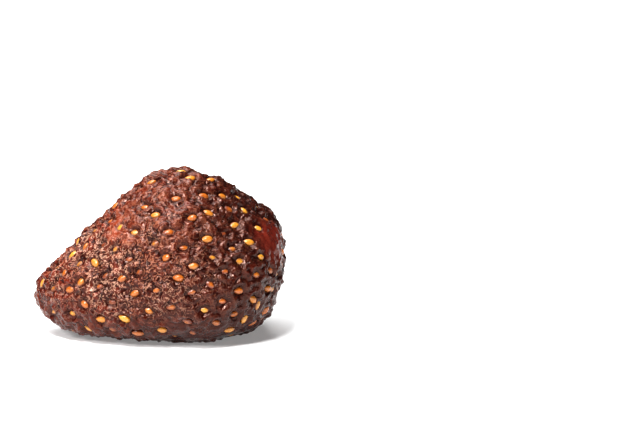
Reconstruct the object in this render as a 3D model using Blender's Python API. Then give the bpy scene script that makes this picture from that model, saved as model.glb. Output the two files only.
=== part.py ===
"""One whole dried strawberry, lying on its side as it came off the drying tray.

The fruit grew as one piece, so it is one closed solid. Its tip points along -X and the end that held
the leaves faces +X. It rests on a small flat spot at z = 0. Lengths are in millimetres until the mesh
is scaled to metres at the end.
"""

import math

import bmesh
import bpy
import numpy as np
from mathutils import Vector, noise

METRES_PER_MM = 0.001
# From the tip to the leaf end, before the leaf end leans out and the lumps rise.
LENGTH = 33.8
# Each step splits every triangle of an icosahedron in four: five steps give edges of about 1 mm.
ICOSPHERE_SUBDIVISIONS = 5

# The fruit at stations along its length. The half-sizes are those of the body before its ends close,
# because the sphere that it is shaped from closes them.
#   place: -1 at the tip, +1 at the leaf end
#   belly: height of the widest line above the underside
#   crown, keel: how far the top stands above the belly line, and the underside hangs below it
#   front, back: how far the sides stand out from the length axis
STATIONS = np.array(
    (
        # place, belly, crown, keel, front, back
        (-1.00, 4.2, 9.0, 7.6, 8.6, 8.6),
        (-0.80, 4.6, 8.5, 7.7, 9.6, 9.2),
        (-0.50, 6.0, 9.6, 7.8, 10.8, 10.0),
        (-0.20, 7.2, 12.2, 8.5, 11.9, 10.9),
        (0.15, 8.0, 13.7, 9.5, 13.2, 11.6),
        (0.45, 8.2, 13.0, 10.4, 14.0, 12.0),
        (0.75, 8.4, 11.3, 12.0, 14.4, 12.2),
        (1.00, 8.6, 10.5, 13.6, 14.8, 12.6),
    )
)
# How square a section is above and below the belly line: 2 is an ellipse, and more is boxier.
CROWN_SQUARENESS = 1.8
KEEL_SQUARENESS = 2.9
# Under 1 the leaf end is blunter than an ellipse.
LEAF_END_BLUNTNESS = 0.76
# The leaf end leans out over its foot, by this much for each millimetre of height.
LEAF_END_LEAN = 0.15

# Hollows where the flesh fell in as it dried: centre, radius and depth.
HOLLOWS = (
    (Vector((-6.5, -9.0, 9.5)), 6.0, 0.9),
    (Vector((8.5, -10.5, 15.0)), 6.5, 0.9),
    (Vector((-8.0, 9.0, 8.0)), 6.5, 1.2),
    (Vector((5.0, 11.0, 12.0)), 7.0, 1.0),
)
# Broad lumps all over, and smaller ones on top of them.
LUMPS = (
    # size, height
    (5.5, 0.45),
    (2.3, 0.28),
)
# How fast the line that the fruit shrinks towards turns inwards near the ends, as a share of x.
SHRINK_LINE_SHARE = 0.6

# The scar left by the pulled leaves: a shallow dish in the leaf end, with a puckered rim.
SCAR_CENTRE = Vector((16.0, 3.5, 8.6))
SCAR_RADIUS = 4.4
SCAR_DEPTH = 1.8
# The dish has a flat floor and a firm edge when this is high.
SCAR_EDGE_POWER = 4
SCAR_PUCKERS = 9
SCAR_PUCKER_DEPTH = 0.25
# The puckers stay close to the rim when this is high.
SCAR_PUCKER_SPREAD = 6.0

# How much of the underside is pressed flat by the fruit's own weight.
FLAT_SPOT_PRESS = 0.5

FLESH_COLOUR = (0.16, 0.035, 0.02, 1.0)
FLESH_ROUGHNESS = 0.4


def through_stations(place):
    """Belly, crown, keel, front and back at a place, on a smooth curve through the stations."""
    places = STATIONS[:, 0]
    sizes = STATIONS[:, 1:]
    slopes = np.gradient(sizes, places, axis=0)
    start = min(max(int(np.searchsorted(places, place)) - 1, 0), len(places) - 2)
    end = start + 1
    gap = places[end] - places[start]
    share = (place - places[start]) / gap
    rest = 1 - share
    return (
        sizes[start] * (1 + 2 * share) * rest**2
        + slopes[start] * gap * share * rest**2
        + sizes[end] * (3 - 2 * share) * share**2
        - slopes[end] * gap * rest * share**2
    )


def on_body(direction):
    """The point of the fruit's body that a point of the unit sphere becomes."""
    place = max(-1.0, min(1.0, direction.x))
    belly, crown, keel, front, back = through_stations(place)
    ring = math.hypot(direction.y, direction.z)
    if ring == 0:
        return Vector((place * LENGTH / 2, 0.0, belly))
    across = direction.y / ring
    up = direction.z / ring
    squareness = CROWN_SQUARENESS if up > 0 else KEEL_SQUARENESS
    reach = (abs(across) ** squareness + abs(up) ** squareness) ** (-1 / squareness)
    reach *= ring**LEAF_END_BLUNTNESS if place > 0 else ring
    width = reach * across * (front if across < 0 else back)
    height = reach * up * (crown if up > 0 else keel)
    lean = LEAF_END_LEAN * height * max(place, 0.0) ** 2
    return Vector((place * LENGTH / 2 + lean, width, belly + height))


def outward(point):
    """Away from the line inside the fruit that its flesh shrinks towards."""
    place = max(-1.0, min(1.0, 2 * point.x / LENGTH))
    belly = through_stations(place)[0]
    return (point - Vector((point.x * SHRINK_LINE_SHARE, 0.0, belly))).normalized()


def dried(point):
    """The same point once the flesh has sunk into hollows and risen in lumps."""
    rise = sum(noise.noise(point / size) * height for size, height in LUMPS)
    for centre, radius, depth in HOLLOWS:
        rise -= depth * math.exp(-(point - centre).length_squared / radius**2)
    return point + outward(point) * rise


def scarred(point):
    """The same point once the dish of the leaf scar is pressed into the leaf end."""
    if point.x < 0:
        return point
    from_centre = point - SCAR_CENTRE
    reach = math.hypot(from_centre.y, from_centre.z) / SCAR_RADIUS
    turn = math.atan2(from_centre.z, from_centre.y)
    near_rim = math.exp(-SCAR_PUCKER_SPREAD * (reach - 1) ** 2)
    pucker = SCAR_PUCKER_DEPTH * math.cos(SCAR_PUCKERS * turn) * near_rim
    dish = SCAR_DEPTH * math.exp(-(reach**SCAR_EDGE_POWER))
    return point - Vector((dish + pucker, 0.0, 0.0))


def make_berry():
    """The whole fruit: a shaped icosphere, pressed flat where it rests and stood on the origin."""
    shape = bmesh.new()
    bmesh.ops.create_icosphere(shape, subdivisions=ICOSPHERE_SUBDIVISIONS, radius=1.0)
    for vert in shape.verts:
        vert.co = scarred(dried(on_body(vert.co)))
    floor = min(vert.co.z for vert in shape.verts) + FLAT_SPOT_PRESS
    for vert in shape.verts:
        vert.co.z = max(vert.co.z - floor, 0.0)
    xs = [vert.co.x for vert in shape.verts]
    ys = [vert.co.y for vert in shape.verts]
    middle = Vector((min(xs) + max(xs), min(ys) + max(ys), 0.0)) / 2
    bmesh.ops.translate(shape, vec=-middle, verts=shape.verts)
    bmesh.ops.scale(shape, vec=Vector((METRES_PER_MM,) * 3), verts=shape.verts)
    bmesh.ops.recalc_face_normals(shape, faces=shape.faces)
    mesh = bpy.data.meshes.new("strawberry")
    shape.to_mesh(mesh)
    shape.free()
    mesh.shade_smooth()
    return mesh


def make_flesh_material():
    material = bpy.data.materials.new("dried_flesh")
    material.use_nodes = True
    surface = material.node_tree.nodes["Principled BSDF"]
    surface.inputs["Base Color"].default_value = FLESH_COLOUR
    surface.inputs["Roughness"].default_value = FLESH_ROUGHNESS
    surface.inputs["Metallic"].default_value = 0.0
    return material


for leftover in list(bpy.data.objects):
    bpy.data.objects.remove(leftover)
berry = bpy.data.objects.new("strawberry", make_berry())
berry.data.materials.append(make_flesh_material())
bpy.context.scene.collection.objects.link(berry)
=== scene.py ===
"""A whole dried strawberry on a plain white table, under soft studio light.

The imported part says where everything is. The flesh and the seeds are made from it, section by section.
"""

import math

import bmesh
import bpy
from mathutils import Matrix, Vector


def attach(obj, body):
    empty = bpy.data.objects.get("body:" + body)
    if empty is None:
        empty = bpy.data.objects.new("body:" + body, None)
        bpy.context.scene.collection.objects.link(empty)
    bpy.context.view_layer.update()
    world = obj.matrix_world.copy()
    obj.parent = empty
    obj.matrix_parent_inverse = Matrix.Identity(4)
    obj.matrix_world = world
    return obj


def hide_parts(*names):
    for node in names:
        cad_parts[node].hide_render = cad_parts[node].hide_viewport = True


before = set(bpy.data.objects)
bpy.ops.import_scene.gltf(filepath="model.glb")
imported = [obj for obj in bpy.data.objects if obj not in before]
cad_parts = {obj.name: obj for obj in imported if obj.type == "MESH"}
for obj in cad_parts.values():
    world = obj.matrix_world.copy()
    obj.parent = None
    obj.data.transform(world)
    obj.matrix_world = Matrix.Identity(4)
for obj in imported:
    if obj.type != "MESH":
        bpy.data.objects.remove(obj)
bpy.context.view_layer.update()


# ---- Table -------------------------------------------------------------------------------------------
# The fruit lies on a plain white table top that is large enough to have no edge in sight.
# It is painted board with a faint, even tooth, and it glows a little so that shadows on it stay light.

TABLE_HALF_SIZE = 20.0
TABLE_WHITE = (0.76, 0.76, 0.76, 1.0)
TABLE_SHADE = (0.74, 0.74, 0.74, 1.0)
TABLE_ROUGHNESS = 0.7
TABLE_GLOW = 0.22
GLOW_WHITE = (1.0, 1.0, 1.0, 1.0)
TABLE_GRAIN_SIZE = 1.0 / 300.0


def feed(slot, value):
    """Fills an input with a wire or with a plain value."""
    if isinstance(value, Wire):
        value.socket.id_data.links.new(value.socket, slot)
    else:
        slot.default_value = value


class Wire:
    """One output of a node. Sums and products of wires make the nodes that work them out."""

    def __init__(self, socket):
        self.socket = socket

    def calc(self, operation, *others):
        """A math node on this wire and the others: the vector kind when this wire is a vector."""
        is_vector = self.socket.type in ("VECTOR", "RGBA")
        node = self.socket.id_data.nodes.new("ShaderNodeVectorMath" if is_vector else "ShaderNodeMath")
        node.operation = operation
        for slot, value in zip(node.inputs, (self, *others)):
            feed(slot, value)
        gives_number = not is_vector or operation == "LENGTH"
        return Wire(node.outputs["Value" if gives_number else "Vector"])

    def __add__(self, other):
        return self.calc("ADD", other)

    def __sub__(self, other):
        return self.calc("SUBTRACT", other)

    def __mul__(self, other):
        if self.socket.type not in ("VECTOR", "RGBA"):
            return self.calc("MULTIPLY", other)
        node = self.socket.id_data.nodes.new("ShaderNodeVectorMath")
        node.operation = "SCALE"
        feed(node.inputs["Vector"], self)
        feed(node.inputs["Scale"], other)
        return Wire(node.outputs["Vector"])

    def __truediv__(self, other):
        return self.calc("DIVIDE", other)

    def reverse(self):
        """One less this."""
        return self * -1.0 + 1.0


def fill(node, inputs):
    """Fills several inputs of a node, by name or number."""
    for key, value in inputs.items():
        feed(node.inputs[key], value)


def add_node(tree, kind, inputs=None, out=0, **settings):
    """Adds a node, gives it its settings, fills its inputs, and returns one output."""
    node = tree.nodes.new(kind)
    for name, value in settings.items():
        setattr(node, name, value)
    fill(node, inputs or {})
    return Wire(node.outputs[out])


def eased(wire, low, high, to_low=0.0, to_high=1.0):
    """Runs smoothly from to_low to to_high as the wire goes from low to high."""
    return add_node(
        wire.socket.id_data,
        "ShaderNodeMapRange",
        {"Value": wire, 1: low, 2: high, 3: to_low, 4: to_high},
        interpolation_type="SMOOTHSTEP",
    )


def noise(place, size, detail=0.0, roughness=0.5, distortion=0.0, out=0):
    """Cloudy noise, 0 to 1, whose lumps are about as wide as size."""
    inputs = {"Vector": place, "Scale": 1.0 / size, "Detail": detail, "Roughness": roughness}
    inputs["Distortion"] = distortion
    return add_node(place.socket.id_data, "ShaderNodeTexNoise", inputs, out)


def mixed(share, first, second):
    """The first colour where share is 0, and the second where it is 1."""
    return add_node(
        share.socket.id_data, "ShaderNodeMix", {0: share, 6: first, 7: second}, 2, data_type="RGBA"
    )


def put_in_scene(name, data):
    """A new object in the scene, at the origin."""
    thing = bpy.data.objects.new(name, data)
    bpy.context.scene.collection.objects.link(thing)
    return thing


table_mesh = bpy.data.meshes.new("table_top")
corner_signs = ((-1, -1), (1, -1), (1, 1), (-1, 1))
table_corners = [(x * TABLE_HALF_SIZE, y * TABLE_HALF_SIZE, 0.0) for x, y in corner_signs]
table_mesh.from_pydata(table_corners, [], [(0, 1, 2, 3)])
table_top = put_in_scene("table_top", table_mesh)

table_paint = bpy.data.materials.new("white_table_paint")
table_paint.use_nodes = True
paint_tree = table_paint.node_tree
paint_place = add_node(paint_tree, "ShaderNodeTexCoord", out="Object")
paint_grain = noise(paint_place, TABLE_GRAIN_SIZE, detail=3.0)
fill(
    paint_tree.nodes["Principled BSDF"],
    {
        "Base Color": mixed(paint_grain, TABLE_SHADE, TABLE_WHITE),
        "Roughness": TABLE_ROUGHNESS,
        "Emission Color": GLOW_WHITE,
        "Emission Strength": TABLE_GLOW,
    },
)
table_mesh.materials.append(table_paint)


# ---- Light and camera --------------------------------------------------------------------------------
# One broad light hangs over the table, a little behind the fruit, so its soft shadow falls to the front.
# Two soft boxes in front of the fruit give the glints. The walls of the room are white only low down.

WALL_LIGHT = (1.0, 1.0, 1.0, 1.0)
CEILING_LIGHT = (0.05, 0.05, 0.05, 1.0)
# How far up the walls start to dim and the ceiling starts, as the sine of the angle above the table.
WALL_TOP = (0.02, 0.05)
MAIN_LIGHT_FROM = (-0.20, 0.24, 0.95)
MAIN_LIGHT_STRENGTH = 3.1
MAIN_LIGHT_SPREAD = math.radians(50.0)
# Each soft box: name, place, side length in metres, watts.
SOFT_BOXES = (
    ("overhead_box", (-0.08, -0.26, 0.42), 0.09, 2.8),
    ("left_box", (-0.34, -0.34, 0.34), 0.15, 2.3),
)
CAMERA_DISTANCE = 0.45
CAMERA_ELEVATION = math.radians(13.0)
CAMERA_LENS = 184.0
CAMERA_NEAR = 0.01
# The view's centre is to the right of the fruit and above its foot, measured square to the view.
AIM_RIGHT = 0.0221
AIM_UP = 0.0163



def split(vector, axis):
    """One axis of a vector."""
    return add_node(vector.socket.id_data, "ShaderNodeSeparateXYZ", {0: vector}, axis)


world = bpy.data.worlds.new("white_room")
bpy.context.scene.world = world
world.use_nodes = True
height_in_room = split(add_node(world.node_tree, "ShaderNodeTexCoord", out="Generated"), "Z")
room_colour = mixed(eased(height_in_room, *WALL_TOP), WALL_LIGHT, CEILING_LIGHT)
feed(world.node_tree.nodes["Background"].inputs["Color"], room_colour)

main_light = put_in_scene("main_light", bpy.data.lights.new("main_light", "SUN"))
main_light.data.energy = MAIN_LIGHT_STRENGTH
main_light.data.angle = MAIN_LIGHT_SPREAD
main_light.rotation_euler = Vector(MAIN_LIGHT_FROM).to_track_quat("Z", "Y").to_euler()
for name, place, side, watts in SOFT_BOXES:
    lamp = bpy.data.lights.new(name, "AREA")
    lamp.shape = "SQUARE"
    lamp.size = side
    lamp.energy = watts
    soft_box = put_in_scene(name, lamp)
    soft_box.location = place
    soft_box.rotation_euler = (-Vector(place)).to_track_quat("-Z", "Y").to_euler()
    soft_box.visible_camera = False

camera = put_in_scene("camera", bpy.data.cameras.new("camera"))
camera.data.lens = CAMERA_LENS
camera.data.clip_start = CAMERA_NEAR
camera.location = CAMERA_DISTANCE * Vector((0.0, -math.cos(CAMERA_ELEVATION), math.sin(CAMERA_ELEVATION)))
view_up = Vector((0.0, math.sin(CAMERA_ELEVATION), math.cos(CAMERA_ELEVATION)))
aim = Vector((AIM_RIGHT, 0.0, 0.0)) + AIM_UP * view_up
camera.rotation_euler = (aim - camera.location).to_track_quat("-Z", "Y").to_euler()
bpy.context.scene.camera = camera
bpy.context.scene.view_settings.view_transform = "Standard"
bpy.context.scene.view_settings.look = "Medium High Contrast"


# ---- Flesh -------------------------------------------------------------------------------------------
# The whole fruit: one body of flesh that shrank as it dried, so its skin crumpled between the seeds and
# each seed was left sitting in its own pit. The leaves were pulled off the +X end, which left a scar.
# The soft parts near the foot stayed smooth and glassy.

MM = 0.001
SKIN_MESH_STEP = 0.184 * MM
SKIN_SMOOTHING_STEPS = 6
SKIN_ROUNDING_LEVELS = 2
MERGE_DISTANCE = 0.001 * MM
# The seeds stand on a spiral that turns by the golden angle from each seed to the next.
SEED_COUNT = 246
GOLDEN_ANGLE = math.pi * (3.0 - math.sqrt(5.0))
SEED_SPIRAL_TURN = 0.9
# How much the spiral opens towards the tip, where the fruit is narrow: 0 is not at all.
SEED_THINNING = 0.5
SEED_STRAY = 0.055
STRAY_DRAW = 3
# The ellipsoid and the inner line that the spiral is drawn between, in millimetres.
SPIRAL_HALF_LENGTH = 17.0
SPIRAL_HALF_DEPTH = 12.0
SPIRAL_HALF_HEIGHT = 11.0
SPIRAL_MIDDLE_HEIGHT = 8.6
CORE_HALF_LENGTH = 9.0
CORE_HEIGHT = 7.4
CORE_RISE = 1.6
# How far out the rays look for the skin, in metres.
RAY_LENGTH = 0.1
# The leaf scar in the +X end, and how much of its radius has no seeds.
SCAR_CENTRE = (15.6, 3.4, 9.3)
SCAR_RADIUS = 4.2
SCAR_BARE_SHARE = 0.95
# The smooth red shoulder beside the scar, and how much of its radius has no seeds.
SHOULDER_CENTRE = (15.4, -4.6, 13.6)
SHOULDER_RADIUS = 4.6
SHOULDER_BARE_SHARE = 0.55
# No seed sits where the fruit rests.
LOWEST_SEED = 0.35

SOCKET_TYPES = {
    "geometry": "NodeSocketGeometry",
    "number": "NodeSocketFloat",
    "count": "NodeSocketInt",
    "vector": "NodeSocketVector",
    "material": "NodeSocketMaterial",
}


def new_geometry_tree(name, inputs):
    """A geometry tree with named inputs: (name, kind, default). Returns it and its inputs as wires."""
    tree = bpy.data.node_groups.new(name, "GeometryNodeTree")
    for label, kind, default in inputs:
        slot = tree.interface.new_socket(label, in_out="INPUT", socket_type=SOCKET_TYPES[kind])
        if default is not None:
            slot.default_value = default
    tree.interface.new_socket("Geometry", in_out="OUTPUT", socket_type=SOCKET_TYPES["geometry"])
    entry = tree.nodes.new("NodeGroupInput")
    return tree, {label: Wire(entry.outputs[label]) for label, _, _ in inputs}


def finish_tree(tree, result):
    """Joins the finished geometry to the tree's output."""
    feed(tree.nodes.new("NodeGroupOutput").inputs["Geometry"], result)


def joined(tree, x, y, z):
    """A vector of three wires or numbers."""
    return add_node(tree, "ShaderNodeCombineXYZ", {0: x, 1: y, 2: z})


def stray(tree, amount, draw):
    """A random vector for each seed, up to the amount each way. The draw's number keeps it the same."""
    return add_node(
        tree,
        "FunctionNodeRandomValue",
        {"Min": (-amount,) * 3, "Max": (amount,) * 3, "Seed": draw},
        data_type="FLOAT_VECTOR",
    )


def keep_on(geometry, name, value, kind="FLOAT"):
    """Stores a value on every point of the geometry, under a name."""
    return add_node(
        geometry.socket.id_data,
        "GeometryNodeStoreNamedAttribute",
        {"Geometry": geometry, "Name": name, "Value": value},
        data_type=kind,
        domain="POINT",
    )


def kept(tree, name, kind="FLOAT"):
    """A value stored on the geometry under this name."""
    return add_node(tree, "GeometryNodeInputNamedAttribute", {"Name": name}, data_type=kind)


# Seed places: a ray for each seed runs out from the core, and the seed is where it meets the skin.
seed_places, wires = new_geometry_tree(
    "seed_places",
    (
        ("Skin", "geometry", None),
        ("Facing", "vector", None),
        ("Seeds", "count", SEED_COUNT),
        ("Spiral Turn", "number", SEED_SPIRAL_TURN),
    ),
)
number = add_node(seed_places, "GeometryNodeInputIndex")
# Along the fruit the spiral runs from 1 at the leaf end to -1 at the tip.
passed = (number + 0.5) / wires["Seeds"]
thinned = (passed * (-4.0 * SEED_THINNING) + (1.0 + SEED_THINNING) ** 2).calc("SQRT")
along = (thinned - (1.0 + SEED_THINNING)) / SEED_THINNING + 1.0
ring = (along * along).reverse().calc("SQRT")
turn = number * GOLDEN_ANGLE + wires["Spiral Turn"]
across = ring * turn.calc("COSINE")
up = ring * turn.calc("SINE")
core_point = joined(seed_places, along * CORE_HALF_LENGTH, 0.0, along * CORE_RISE + CORE_HEIGHT) * MM
far_point = (
    joined(
        seed_places,
        along * SPIRAL_HALF_LENGTH,
        across * SPIRAL_HALF_DEPTH,
        up * SPIRAL_HALF_HEIGHT + SPIRAL_MIDDLE_HEIGHT,
    )
    * MM
)
heading = (far_point - core_point).calc("NORMALIZE") + stray(seed_places, SEED_STRAY, STRAY_DRAW)
ray = seed_places.nodes.new("GeometryNodeRaycast")
ray.data_type = "FLOAT_VECTOR"
fill(
    ray,
    {
        "Target Geometry": wires["Skin"],
        "Attribute": wires["Facing"],
        "Source Position": core_point,
        "Ray Direction": heading,
        "Ray Length": RAY_LENGTH,
    },
)
points = add_node(seed_places, "GeometryNodePoints", {"Count": wires["Seeds"]})
points = keep_on(points, "facing", Wire(ray.outputs["Attribute"]), "FLOAT_VECTOR")
hit = Wire(ray.outputs["Hit Position"])
points = add_node(seed_places, "GeometryNodeSetPosition", {"Geometry": points, "Position": hit})
seed_place = add_node(seed_places, "GeometryNodeInputPosition") / (MM, MM, MM)
in_scar = (seed_place - SCAR_CENTRE).calc("LENGTH").calc("LESS_THAN", SCAR_RADIUS * SCAR_BARE_SHARE)
from_shoulder = (seed_place - SHOULDER_CENTRE).calc("LENGTH")
on_shoulder = from_shoulder.calc("LESS_THAN", SHOULDER_RADIUS * SHOULDER_BARE_SHARE)
underneath = split(seed_place, "Z").calc("LESS_THAN", LOWEST_SEED)
bare = in_scar.calc("MAXIMUM", underneath).calc("MAXIMUM", on_shoulder)
points = add_node(seed_places, "GeometryNodeDeleteGeometry", {"Geometry": points, "Selection": bare})
finish_tree(seed_places, points)

# The skin: pits at the seed places, crumples and wrinkles between them, and smooth soft parts.
PIT_DEPTH = 0.36
PIT_RADIUS = 0.72
# Pits are longer along the fruit than across it, so distance counts for less that way.
PIT_STRETCH = (0.8, 1.0, 1.0)
# How far a pit evens out the crumples and wrinkles in it.
PIT_CALM = 0.8
RIM_RADIUS = 1.1
RIM_WIDTH = 0.34
RIM_HEIGHT = 0.18
# Crumples are folds that stand up in lines. Wrinkles and puckers are cushions with sharp lines between.
CRUMPLE_SIZE = 2.6
CRUMPLE_HEIGHT = 0.42
CRUMPLE_FOLD = (-4.0, 0.5)
WRINKLE_SIZE = 1.5
WRINKLE_HEIGHT = 0.19
PUCKER_SIZE = 0.78
PUCKER_HEIGHT = 0.12
CUSHION_FOLD = (5.0, -0.5)
# How the lines of the folds bend: the size of the bends and how far they reach.
BROAD_BENDS = (2.4, 1.1)
FINE_BENDS = (1.1, 0.8)
WRINKLE_BEND_SHARE = 0.6
# Lumps of smooth flesh lie low down towards the leaf end: the heights and places where they come in.
SMOOTH_HEIGHTS = (8.0, 3.0)
SMOOTH_PLACES = (-5.0, 3.0)
SMOOTH_LUMP_SIZE = 3.6
SMOOTH_LUMP_RANGE = (0.42, 0.60)
# The edges of the shoulder and of the scar, as shares of their radii, and how smooth each is.
SHOULDER_EDGE = (1.0, 0.45)
SHOULDER_BEND_SHARE = 2.4
SHOULDER_SMOOTHNESS = 0.68
SCAR_EDGE = (1.15, 0.8)
SCAR_SMOOTHNESS = 0.6
# How far smooth flesh evens out the relief.
SMOOTH_EVENS_OUT = 0.85
# The scar's fibres, and the button in its middle where the stalk was.
FIBRES_ROUND = 2.6
FIBRES_ALONG = 1.2
FIBRE_SIZE = 0.42
FIBRE_START = (0.05, 0.4)
FIBRE_HEIGHT = 0.9
BUTTON_EDGE = (0.34, 0.14)
BUTTON_HEIGHT = 0.55


def folded(wire, steepness, offset):
    """Noise folded at its middle, which leaves a sharp line there."""
    return (wire - 0.5).calc("ABSOLUTE") * steepness + offset


def bell(wire):
    """1 where the wire is 0, falling off evenly on both sides."""
    return (wire.calc("POWER", 2.0) * -1.0).calc("EXPONENT")


def sites_in(tree, wires, facing):
    """The seed places, worked out inside another tree from its own inputs."""
    inputs = {"Skin": wires["Geometry"], "Facing": facing}
    inputs |= {"Seeds": wires["Seeds"], "Spiral Turn": wires["Spiral Turn"]}
    return add_node(tree, "GeometryNodeGroup", inputs, node_tree=seed_places)


def bends(place, size, reach, detail):
    """A smooth shift of the place, to bend the lines of a pattern."""
    return noise(place, size, detail=detail, out=1).calc("SUBTRACT", (0.5, 0.5, 0.5)) * reach


skin_tree, wires = new_geometry_tree(
    "dried_skin",
    (
        ("Geometry", "geometry", None),
        ("Seeds", "count", SEED_COUNT),
        ("Spiral Turn", "number", SEED_SPIRAL_TURN),
        ("Pit Depth", "number", PIT_DEPTH),
        ("Crumple Height", "number", CRUMPLE_HEIGHT),
        ("Wrinkle Height", "number", WRINKLE_HEIGHT),
        ("Pucker Height", "number", PUCKER_HEIGHT),
        ("Finish", "material", None),
    ),
)
place = add_node(skin_tree, "GeometryNodeInputPosition") / (MM, MM, MM)
facing = add_node(skin_tree, "GeometryNodeInputNormal")
x, y, z = (split(place, axis) for axis in "XYZ")
sites = sites_in(skin_tree, wires, facing)
nearest = add_node(skin_tree, "GeometryNodeProximity", {0: sites}, "Position", target_element="POINTS")
gap = (place - nearest / (MM, MM, MM)).calc("MULTIPLY", PIT_STRETCH).calc("LENGTH")
broad_bends = bends(place, *BROAD_BENDS, detail=1.0)
fine_bends = bends(place, *FINE_BENDS, detail=0.0)

# Where the flesh stayed smooth: low down towards the leaf end, on the shoulder, and in the leaf scar.
low_leaf_end = eased(z, *SMOOTH_HEIGHTS) * eased(x, *SMOOTH_PLACES)
smooth_lumps = noise(place + broad_bends, SMOOTH_LUMP_SIZE, detail=1.0)
soft_patch = eased(smooth_lumps, *SMOOTH_LUMP_RANGE) * low_leaf_end
shoulder_place = place + broad_bends * SHOULDER_BEND_SHARE
shoulder = eased((shoulder_place - SHOULDER_CENTRE).calc("LENGTH") / SHOULDER_RADIUS, *SHOULDER_EDGE)
scar_reach = (place - SCAR_CENTRE).calc("LENGTH") / SCAR_RADIUS
scar = eased(scar_reach, *SCAR_EDGE)
glassy = soft_patch.calc("MAXIMUM", shoulder * SHOULDER_SMOOTHNESS)
glassy = glassy.calc("MAXIMUM", scar * SCAR_SMOOTHNESS)
rough_share = glassy * -SMOOTH_EVENS_OUT + 1.0

# Each kind of relief, in millimetres along the surface's facing.
pit = bell(gap / PIT_RADIUS)
rim = bell((gap - RIM_RADIUS) / RIM_WIDTH)
crumple = noise(place + broad_bends, CRUMPLE_SIZE, detail=1.0)
crumple = folded(crumple, *CRUMPLE_FOLD) * wires["Crumple Height"]
wrinkle = noise(place + broad_bends * WRINKLE_BEND_SHARE, WRINKLE_SIZE)
wrinkle = folded(wrinkle, *CUSHION_FOLD) * wires["Wrinkle Height"]
pucker = noise(place + fine_bends, PUCKER_SIZE)
pucker = folded(pucker, *CUSHION_FOLD) * wires["Pucker Height"]
away_from_pit = (pit * PIT_CALM).reverse()
relief = (crumple + wrinkle) * away_from_pit * rough_share + pucker * rough_share
relief = relief - pit * wires["Pit Depth"] + rim * RIM_HEIGHT * rough_share
# The torn fibres of the scar run out from its middle.
scar_angle = (y - SCAR_CENTRE[1]).calc("ARCTAN2", z - SCAR_CENTRE[2])
fibre_place = joined(skin_tree, scar_angle * FIBRES_ROUND, scar_reach * FIBRES_ALONG, 0.0)
fibres = noise(fibre_place, FIBRE_SIZE, detail=1.0) - 0.5
relief = relief + scar * eased(scar_reach, *FIBRE_START) * fibres * FIBRE_HEIGHT
relief = relief + eased(scar_reach, *BUTTON_EDGE) * BUTTON_HEIGHT

skin = keep_on(wires["Geometry"], "skin_facing", facing, "FLOAT_VECTOR")
for name, value in (
    ("relief", relief),
    ("lobe", pucker / wires["Pucker Height"] + wrinkle / wires["Wrinkle Height"]),
    ("seed_gap", gap),
    ("glassy", glassy),
    ("shoulder", shoulder),
    ("scar", scar),
    ("scar_reach", scar_reach),
):
    skin = keep_on(skin, name, value)
moved = place + kept(skin_tree, "skin_facing", "FLOAT_VECTOR") * kept(skin_tree, "relief")
# No skin sinks into the table.
moved_z = split(moved, "Z").calc("MAXIMUM", 0.0)
moved = moved.calc("MULTIPLY", (1.0, 1.0, 0.0)) + joined(skin_tree, 0.0, 0.0, moved_z)
skin = add_node(skin_tree, "GeometryNodeSetPosition", {"Geometry": skin, "Position": moved * MM})
skin = add_node(skin_tree, "GeometryNodeSetShadeSmooth", {"Geometry": skin})
skin = add_node(skin_tree, "GeometryNodeRealizeInstances", {"Geometry": skin})
skin = add_node(skin_tree, "GeometryNodeSetMaterial", {"Geometry": skin, "Material": wires["Finish"]})
finish_tree(skin_tree, skin)

# Flesh finish: brown, glossy and a little translucent, redder where it is thin, and pale on its crests,
# partly as painted highlight. Painted shade darkens its hollows, creases, seed rings, leaf end and foot.
FLESH_BROWN = (0.092, 0.018, 0.010, 1.0)
# A darker flesh tone, used mostly as the colour of painted shade in hollows, creases and pits.
DEEP_FLESH_AND_SHADE = (0.014, 0.0025, 0.002, 1.0)
FLESH_RED = (0.21, 0.028, 0.012, 1.0)
FLESH_PLUM = (0.058, 0.017, 0.012, 1.0)
# Pale tan for worn crests and flecks, partly a painted highlight.
CREST_TAN_AND_HIGHLIGHT = (0.34, 0.13, 0.075, 1.0)
SUGAR_AND_HIGHLIGHT_PALE = (0.60, 0.38, 0.27, 1.0)
SHOULDER_RED = (0.125, 0.015, 0.009, 1.0)
SCAR_CREAM = (0.34, 0.19, 0.10, 1.0)
# Painted shade colour for the flesh low down near the table.
FOOT_SHADE_RED = (0.026, 0.003, 0.0022, 1.0)
# One patch of thinner, orange-red skin high on the front: where it is, and where it starts and is whole.
THIN_SKIN_ORANGE = (0.32, 0.062, 0.026, 1.0)
THIN_SKIN_CENTRE = (-4.0, -5.0, 15.0)
THIN_SKIN_REACH = (4.5, 1.5)
FLESH_ROUGHNESS = 0.15
GLASSY_ROUGHNESS = 0.12
ROUGHNESS_STRAY = 0.08
CRINKLE_SIZE = 0.8
CRINKLE_FOLD = (-4.5, 1.0)
SWELL_SIZE = 1.3
GRAIN_SIZE = 0.2
PATCH_SIZE = 4.2
SPOT_SIZE = 2.2
SUGAR_PATCH_SIZE = 5.0
# Each of these patterns starts somewhere else, so that they don't repeat each other.
SWELL_START = (5.0, 11.0, 17.0)
SPOT_START = (31.0, 7.0, 3.0)
# The band of finest crinkles: where along and how high it starts and is whole, and how ragged it is.
BAND_PLACES = (11.0, -3.0)
BAND_FOOT = (2.0, 6.5)
BAND_TOP = (19.0, 12.0)
BAND_RAGGEDNESS = 8.0
CRINKLES_OUTSIDE_BAND = 0.5
# The red comes in towards the tip, and near the foot on that side.
RED_TIP_PLACES = (-4.0, -15.0)
RED_TIP_SHARE = 0.8
RED_FOOT_HEIGHTS = (9.0, 1.0)
RED_FOOT_PLACES = (6.0, -6.0)
RED_FOOT_SHARE = 0.6
RED_ANYWHERE = 0.14
RED_SIDE_SHARE = 0.42
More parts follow.
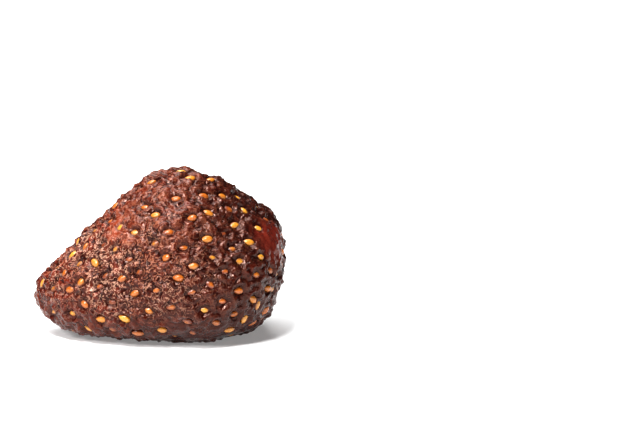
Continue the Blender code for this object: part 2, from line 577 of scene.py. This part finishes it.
# Where each colour over the brown starts and where it is whole, in its own pattern's values.
RED_RANGE = (0.60, 0.86)
SPOT_RANGE = (0.5, 0.66)
HOLLOW_SHADE_RANGE = (0.0, -0.4)
GROOVE_SHADE_RANGE = (0.35, -0.7)
THIN_SKIN_RANGE = (0.3, 0.6)
CREST_HIGHLIGHT_RANGE = (0.5, 1.5)
FLECK_HIGHLIGHT_RANGE = (0.74, 1.02)
SUGAR_RANGE = (0.40, 0.6)
CREASE_SHADE_RANGE = (0.5, 0.0)
SCAR_RED_RANGE = (0.25, 0.75)
PIT_SHADE_RANGE = (0.95, 0.6)
# Where the painted shade starts and is whole towards the leaf end, and low down at the foot.
SHADED_END_PLACES = (3.0, 16.0)
FOOT_SHADE_HEIGHTS = (14.0, 4.0)
# How far the grain breaks up the crests, the flecks and the scar, and how ragged the broad zones are.
CREST_GRAIN = 1.4
FLECK_GRAIN = 1.3
SCAR_GRAIN = 0.5
ZONE_RAGGEDNESS = 6.0
# The shoulder's red is patchy, and this is its least share.
SHOULDER_PATCHINESS = 0.6
SHOULDER_LEAST_RED = 0.3
# Bump: heights of the patterns against each other, and what a height of 1 stands for.
SWELL_BUMP = 3.0
GRAIN_BUMP = 0.22
BUMP_HEIGHT = 0.1 * MM
# Light goes a little way into the flesh, and its red goes furthest.
FLESH_GLOW_SHARE = 0.05
FLESH_GLOW_COLOUR = (1.0, 0.22, 0.12)
FLESH_GLOW_DEPTH = 0.8 * MM
# The shine on the skin is weak and reddish, under a trace of dried syrup.
SHINE_LEVEL = 0.36
SHINE_TINT = (1.0, 0.60, 0.50, 1.0)
SYRUP_SHARE = 0.04
SYRUP_ROUGHNESS = 0.06

flesh_finish = bpy.data.materials.new("dried_flesh")
flesh_finish.use_nodes = True
flesh_tree = flesh_finish.node_tree


def stored(tree, name):
    """A number that the geometry tree stored on the piece."""
    return add_node(tree, "ShaderNodeAttribute", out="Fac", attribute_name=name)


at = add_node(flesh_tree, "ShaderNodeTexCoord", out="Object") * (1.0 / MM)
at_x, at_z = (split(at, axis) for axis in "XZ")
relief, lobe, seed_gap, glassy, shoulder, scar, scar_reach = (
    stored(flesh_tree, name)
    for name in ("relief", "lobe", "seed_gap", "glassy", "shoulder", "scar", "scar_reach")
)
not_glassy = glassy.reverse()
crinkle = folded(noise(at, CRINKLE_SIZE, detail=1.0, roughness=0.4, distortion=0.8), *CRINKLE_FOLD)
swell = noise(at + SWELL_START, SWELL_SIZE, detail=2.0, roughness=0.45)
grain = noise(at, GRAIN_SIZE, detail=2.0)
patches = noise(at, PATCH_SIZE, detail=2.0)
spots = noise(at + SPOT_START, SPOT_SIZE, detail=2.0)
sugar_patches = noise(at, SUGAR_PATCH_SIZE, detail=1.0)
ragged = (swell - 0.5) * BAND_RAGGEDNESS
band = eased(at_x + ragged, *BAND_PLACES) * eased(at_z + ragged, *BAND_FOOT) * eased(at_z, *BAND_TOP)
crinkled = band * (1.0 - CRINKLES_OUTSIDE_BAND) + CRINKLES_OUTSIDE_BAND

red_tip = eased(at_x, *RED_TIP_PLACES) * RED_TIP_SHARE
red_foot = eased(at_z, *RED_FOOT_HEIGHTS) * eased(at_x, *RED_FOOT_PLACES) * RED_FOOT_SHARE
red_side = red_tip + red_foot + RED_ANYWHERE
from_thin_skin = (at + (swell - 0.5) * ZONE_RAGGEDNESS - THIN_SKIN_CENTRE).calc("LENGTH")
thin_skin = eased(from_thin_skin, *THIN_SKIN_REACH) * eased(patches, *THIN_SKIN_RANGE)
crest_wear_and_highlight = eased(lobe + (grain - 0.5) * CREST_GRAIN, *CREST_HIGHLIGHT_RANGE) * not_glassy
fleck_sugar_and_highlight = eased(crinkle + (grain - 0.5) * FLECK_GRAIN, *FLECK_HIGHLIGHT_RANGE) * not_glassy * crinkled
# Painted shade along the creases of the finest crinkles.
crease_shade = eased(crinkle, *CREASE_SHADE_RANGE) * not_glassy * crinkled
zone_edges = patches * ZONE_RAGGEDNESS
# Painted shade darkens the flesh towards the leaf end.
shaded_end = eased(at_x + zone_edges, *SHADED_END_PLACES) * shoulder.reverse()
scar_share = scar * (grain * SCAR_GRAIN + (1.0 - SCAR_GRAIN))
scar_colour = mixed(eased(scar_reach, *SCAR_RED_RANGE), SCAR_CREAM, FLESH_RED)
layers = (
    # Where it shows, how strongly, and its colour.
    (eased(patches + red_side * RED_SIDE_SHARE, *RED_RANGE), 1.0, FLESH_RED),
    (eased(spots, *SPOT_RANGE), 0.5, FLESH_PLUM),
    (glassy, 0.7, FLESH_PLUM),
    # Painted shade: the hollows of the relief and the grooves between its cushions are darkened.
    (eased(relief, *HOLLOW_SHADE_RANGE), 0.8, DEEP_FLESH_AND_SHADE),
    (eased(lobe, *GROOVE_SHADE_RANGE), 0.9, DEEP_FLESH_AND_SHADE),
    (thin_skin, 0.7, THIN_SKIN_ORANGE),
    (band, 0.35, DEEP_FLESH_AND_SHADE),
    # Worn crests, pale flecks on the finest crinkles, and dried sugar on some of those: partly real,
    # partly painted highlight.
    (crest_wear_and_highlight, 0.3, CREST_TAN_AND_HIGHLIGHT),
    (fleck_sugar_and_highlight, 0.7, CREST_TAN_AND_HIGHLIGHT),
    (eased(sugar_patches, *SUGAR_RANGE) * fleck_sugar_and_highlight * band, 0.5, SUGAR_AND_HIGHLIGHT_PALE),
    # Painted shade in the creases of the finest crinkles.
    (crease_shade, 0.92, DEEP_FLESH_AND_SHADE),
    (shoulder * (patches * SHOULDER_PATCHINESS + SHOULDER_LEAST_RED), 1.0, SHOULDER_RED),
    (scar_share, 1.0, scar_colour),
    # Painted shade: dark rings round the seeds, a darker leaf end, and a darker foot.
    (eased(seed_gap, *PIT_SHADE_RANGE), 0.6, DEEP_FLESH_AND_SHADE),
    (shaded_end, 0.72, DEEP_FLESH_AND_SHADE),
    (eased(at_z + zone_edges, *FOOT_SHADE_HEIGHTS), 0.75, FOOT_SHADE_RED),
)
colour = FLESH_BROWN
for where, strength, tint in layers:
    colour = mixed(where * strength, colour, tint)
shine = glassy * (GLASSY_ROUGHNESS - FLESH_ROUGHNESS) + FLESH_ROUGHNESS
bump_height = crinkle * (glassy * -SMOOTH_EVENS_OUT + 1.0) * crinkled
bump_height = bump_height + swell * SWELL_BUMP + grain * GRAIN_BUMP
skin_bump = add_node(
    flesh_tree, "ShaderNodeBump", {"Strength": 1.0, "Distance": BUMP_HEIGHT, "Height": bump_height}
)
fill(
    flesh_tree.nodes["Principled BSDF"],
    {
        "Base Color": colour,
        "Roughness": shine + (grain - 0.5) * ROUGHNESS_STRAY,
        "Normal": skin_bump,
        "Subsurface Weight": FLESH_GLOW_SHARE,
        "Subsurface Radius": FLESH_GLOW_COLOUR,
        "Subsurface Scale": FLESH_GLOW_DEPTH,
        "Specular IOR Level": SHINE_LEVEL,
        "Specular Tint": SHINE_TINT,
        "Coat Weight": SYRUP_SHARE,
        "Coat Roughness": SYRUP_ROUGHNESS,
    },
)


def set_input(modifier, label, value):
    """Sets a geometry tree's input on its modifier by the socket's identifier."""
    slots = modifier.node_group.interface.items_tree
    modifier[next(s.identifier for s in slots if s.name == label and s.in_out == "INPUT")] = value


def made_plain(source, name):
    """The object with its modifiers worked in, as a new object with a plain mesh in the same place."""
    graph = bpy.context.evaluated_depsgraph_get()
    mesh = bpy.data.meshes.new_from_object(
        source.evaluated_get(graph), preserve_all_data_layers=True, depsgraph=graph
    )
    mesh.name = name
    bpy.data.objects.remove(source)
    return put_in_scene(name, mesh)


skin_shape = bmesh.new()
skin_shape.from_mesh(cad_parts["strawberry"].data)
bmesh.ops.remove_doubles(skin_shape, verts=skin_shape.verts, dist=MERGE_DISTANCE)
skin_mesh = bpy.data.meshes.new("skin_blank")
skin_shape.to_mesh(skin_mesh)
skin_shape.free()
skin_blank = put_in_scene("skin_blank", skin_mesh)
rounding = skin_blank.modifiers.new("rounding", "SUBSURF")
rounding.levels = SKIN_ROUNDING_LEVELS
rounding.render_levels = SKIN_ROUNDING_LEVELS
even_mesh = skin_blank.modifiers.new("even_mesh", "REMESH")
even_mesh.mode = "VOXEL"
even_mesh.voxel_size = SKIN_MESH_STEP
calming = skin_blank.modifiers.new("calming", "SMOOTH")
calming.iterations = SKIN_SMOOTHING_STEPS
drying = skin_blank.modifiers.new("drying", "NODES")
drying.node_group = skin_tree
set_input(drying, "Finish", flesh_finish)
flesh = made_plain(skin_blank, "flesh")
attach(flesh, "root")
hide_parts("strawberry")


# ---- Seeds -------------------------------------------------------------------------------------------
# The small dry fruits that dot the skin: hard glossy teardrops, each set in its pit with its point
# towards the tip of the fruit. Some are bare and yellow, and others wear a film of dried flesh.

SEED_LENGTH = 1.55
SEED_WIDTH = 1.0
SEED_THICKNESS = 0.72
SEED_SIDES = 8
# Each ring of a seed: place along it from the blunt end to the point, and its share of the full width.
SEED_RINGS = (
    (-0.44, 0.50),
    (-0.28, 0.85),
    (-0.04, 1.00),
    (0.20, 0.80),
    (0.38, 0.44),
)
# The ends, as shares of the length, and how far the point dips.
BLUNT_END = -0.5
POINT_END = 0.52
POINT_DIP = -0.05 * MM
# A low ridge runs along the top of the husk.
SEED_RIDGE = 0.08
RIDGE_SHARPNESS = 4
SEED_SIZE_SPREAD = (0.86, 1.22)
# How far a bare seed stands out of its pit, and how far a covered one is sunk in it.
SEED_SINK = (0.10, -0.20)
# Each seed's point is towards the tip, give or take a swing and a tilt.
TOWARDS_TIP = (-1.0, 0.0, 0.0)
SEED_TILT = 0.28
SEED_SWING = 0.46
TONE_DRAW = 11
FILM_DRAW = 12
SWING_DRAW = 21
TILT_DRAW = 22
SIZE_DRAW = 23

seed_shape = bmesh.new()
blunt_end = seed_shape.verts.new((BLUNT_END * SEED_LENGTH * MM, 0.0, 0.0))
seed_rings = []
for along_seed, share in SEED_RINGS:
    row = []
    for side in range(SEED_SIDES):
        angle = 2 * math.pi * side / SEED_SIDES
        ridge = 1.0 + SEED_RIDGE * max(math.sin(angle), 0.0) ** RIDGE_SHARPNESS
        y = 0.5 * SEED_WIDTH * share * math.cos(angle)
        z = 0.5 * SEED_THICKNESS * share * ridge * math.sin(angle)
        row.append(seed_shape.verts.new(Vector((along_seed * SEED_LENGTH, y, z)) * MM))
    seed_rings.append(row)
point_end = seed_shape.verts.new((POINT_END * SEED_LENGTH * MM, 0.0, POINT_DIP))
for side in range(SEED_SIDES):
    after = (side + 1) % SEED_SIDES
    seed_shape.faces.new((blunt_end, seed_rings[0][after], seed_rings[0][side]))
    seed_shape.faces.new((point_end, seed_rings[-1][side], seed_rings[-1][after]))
    for first, second in zip(seed_rings, seed_rings[1:]):
        seed_shape.faces.new((first[side], first[after], second[after], second[side]))
bmesh.ops.recalc_face_normals(seed_shape, faces=seed_shape.faces)
seed_mesh = bpy.data.meshes.new("one_seed")
seed_shape.to_mesh(seed_mesh)
seed_shape.free()
height_in_seed = seed_mesh.attributes.new("seed_height", "FLOAT", "POINT")
for vert in seed_mesh.vertices:
    height_in_seed.data[vert.index].value = vert.co.z / (0.5 * SEED_THICKNESS * MM)
one_seed = put_in_scene("one_seed", seed_mesh)

sowing_tree, wires = new_geometry_tree(
    "seeds_in_pits",
    (
        ("Geometry", "geometry", None),
        ("Seeds", "count", SEED_COUNT),
        ("Spiral Turn", "number", SEED_SPIRAL_TURN),
        ("Finish", "material", None),
    ),
)
points = sites_in(sowing_tree, wires, kept(sowing_tree, "skin_facing", "FLOAT_VECTOR"))


def random_number(tree, low, high, draw):
    """A random number for each seed."""
    inputs = {2: low, 3: high, "Seed": draw}
    return add_node(tree, "FunctionNodeRandomValue", inputs, 1, data_type="FLOAT")


# Tone runs from yellow to orange, and film from bare to covered.
for name, draw in (("tone", TONE_DRAW), ("film", FILM_DRAW)):
    points = keep_on(points, name, random_number(sowing_tree, 0.0, 1.0, draw))
facing = kept(sowing_tree, "facing", "FLOAT_VECTOR")
film = kept(sowing_tree, "film")
sink = eased(film, 0.0, 1.0, *SEED_SINK)
offset = facing * sink * MM
points = add_node(sowing_tree, "GeometryNodeSetPosition", {"Geometry": points, "Offset": offset})
pointing = stray(sowing_tree, SEED_SWING, SWING_DRAW) + TOWARDS_TIP
lean = facing.calc("NORMALIZE") + stray(sowing_tree, SEED_TILT, TILT_DRAW)
rotation = add_node(
    sowing_tree,
    "FunctionNodeAxesToRotation",
    {"Primary Axis": lean, "Secondary Axis": pointing},
    primary_axis="Z",
    secondary_axis="X",
)
one_seed_shape = add_node(sowing_tree, "GeometryNodeObjectInfo", {"Object": one_seed}, "Geometry")
size = random_number(sowing_tree, *SEED_SIZE_SPREAD, SIZE_DRAW)
seeds = add_node(
    sowing_tree,
    "GeometryNodeInstanceOnPoints",
    {
        "Points": points,
        "Instance": one_seed_shape,
        "Rotation": rotation,
        "Scale": joined(sowing_tree, size, size, size),
    },
)
seeds = add_node(sowing_tree, "GeometryNodeRealizeInstances", {"Geometry": seeds})
seeds = add_node(sowing_tree, "GeometryNodeSetShadeSmooth", {"Geometry": seeds})
seeds = add_node(sowing_tree, "GeometryNodeSetMaterial", {"Geometry": seeds, "Material": wires["Finish"]})
finish_tree(sowing_tree, seeds)

# Seed finish: a glossy husk from golden yellow to orange-brown, darker and redder down its sides.
HUSK_YELLOW = (0.64, 0.29, 0.035, 1.0)
HUSK_ORANGE = (0.42, 0.115, 0.014, 1.0)
HUSK_BROWN = (0.20, 0.055, 0.014, 1.0)
FILM_RED = (0.14, 0.024, 0.010, 1.0)
# The tones between which yellow turns to orange.
TONE_RANGE = (0.0, 0.7)
MOTTLE_SIZE = 0.3
MOTTLE_RANGE = (0.45, 0.75)
MOTTLE_STRENGTH = 0.5
# The film covers a seed from its sides up: how high it reaches, how ragged it is, and how thick.
FILM_REACH = 1.1
FILM_RAGGEDNESS = 0.8
FILM_EDGE = (0.35, -0.25)
FILM_STRENGTH = 0.9
BARE_ROUGHNESS = 0.24
COVERED_ROUGHNESS = 0.38
HUSK_GRAIN_SIZE = 0.16
HUSK_BUMP_STRENGTH = 0.5
HUSK_BUMP_HEIGHT = 0.05 * MM
HUSK_GLOW_SHARE = 0.1
HUSK_GLOW_COLOUR = (1.0, 0.5, 0.2)
HUSK_GLOW_DEPTH = 0.4 * MM
VARNISH_SHARE = 0.3
VARNISH_ROUGHNESS = 0.12

seed_finish = bpy.data.materials.new("seed_husk")
seed_finish.use_nodes = True
husk_tree = seed_finish.node_tree
at = add_node(husk_tree, "ShaderNodeTexCoord", out="Object") * (1.0 / MM)
tone, film, seed_height = (stored(husk_tree, name) for name in ("tone", "film", "seed_height"))
husk = mixed(eased(tone, *TONE_RANGE), HUSK_YELLOW, HUSK_ORANGE)
mottle = noise(at, MOTTLE_SIZE, detail=2.0)
husk = mixed(eased(mottle, *MOTTLE_RANGE) * MOTTLE_STRENGTH, husk, HUSK_BROWN)
covered = eased(seed_height - film * FILM_REACH + (mottle - 0.5) * FILM_RAGGEDNESS, *FILM_EDGE)
husk_grain = noise(at, HUSK_GRAIN_SIZE, detail=2.0)
husk_bump = add_node(
    husk_tree,
    "ShaderNodeBump",
    {"Strength": HUSK_BUMP_STRENGTH, "Distance": HUSK_BUMP_HEIGHT, "Height": husk_grain},
)
fill(
    husk_tree.nodes["Principled BSDF"],
    {
        "Base Color": mixed(covered * FILM_STRENGTH, husk, FILM_RED),
        "Roughness": covered * (COVERED_ROUGHNESS - BARE_ROUGHNESS) + BARE_ROUGHNESS,
        "Normal": husk_bump,
        "Subsurface Weight": HUSK_GLOW_SHARE,
        "Subsurface Radius": HUSK_GLOW_COLOUR,
        "Subsurface Scale": HUSK_GLOW_DEPTH,
        "Coat Weight": VARNISH_SHARE,
        "Coat Roughness": VARNISH_ROUGHNESS,
    },
)

seed_blank = put_in_scene("seed_blank", flesh.data.copy())
sowing = seed_blank.modifiers.new("sowing", "NODES")
sowing.node_group = sowing_tree
set_input(sowing, "Finish", seed_finish)
achenes = made_plain(seed_blank, "achenes")
bpy.data.objects.remove(one_seed)
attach(achenes, "root")
